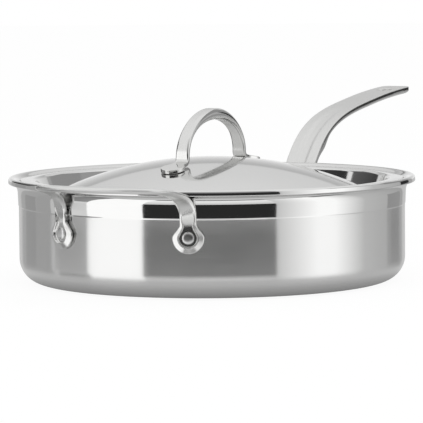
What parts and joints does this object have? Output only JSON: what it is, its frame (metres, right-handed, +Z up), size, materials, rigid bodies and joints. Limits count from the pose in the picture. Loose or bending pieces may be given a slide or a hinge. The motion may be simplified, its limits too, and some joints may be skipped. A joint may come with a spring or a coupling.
{
  "type": "saute pan with lid",
  "caption": "Straight-walled steel saute pan with a flared lip, a long riveted handle, a riveted helper loop and a recessed lid that lifts off by an arched strap handle.",
  "frame": {"origin": "centre of the pan's underside, on the surface that it stands on", "axes": "+X out along the long handle, +Z up out of the pan, +Y to the left of the long handle as seen from the pan"},
  "size_m": [0.536, 0.3004, 0.1293],
  "materials": {
    "pan_body": "brushed round the wall, polished band and lip",
    "long_handle": "satin top face with polished edges",
    "helper_handle": "satin with polished edges",
    "lid": "satin dome, mirror-polished trough and flange",
    "lid_handle": "polished",
    "rivets": "polished"
  },
  "bodies": {
    "pan": {"pan_body": "pan_body", "long_handle": "long_handle", "long_handle_rivet_left": "rivets", "long_handle_rivet_right": "rivets", "long_handle_rivet_lower": "rivets", "helper_handle": "helper_handle", "helper_rivet_left": "rivets", "helper_rivet_right": "rivets"},
    "cover": {"lid": "lid", "lid_handle": "lid_handle", "lid_handle_rivet_front": "rivets", "lid_handle_rivet_back": "rivets"}
  },
  "joints": [
    {"name": "lid_lift", "type": "slide", "parent": "pan", "child": "cover", "axis": [0, 0, 1], "range_m": [0, 0.12]}
  ]
}
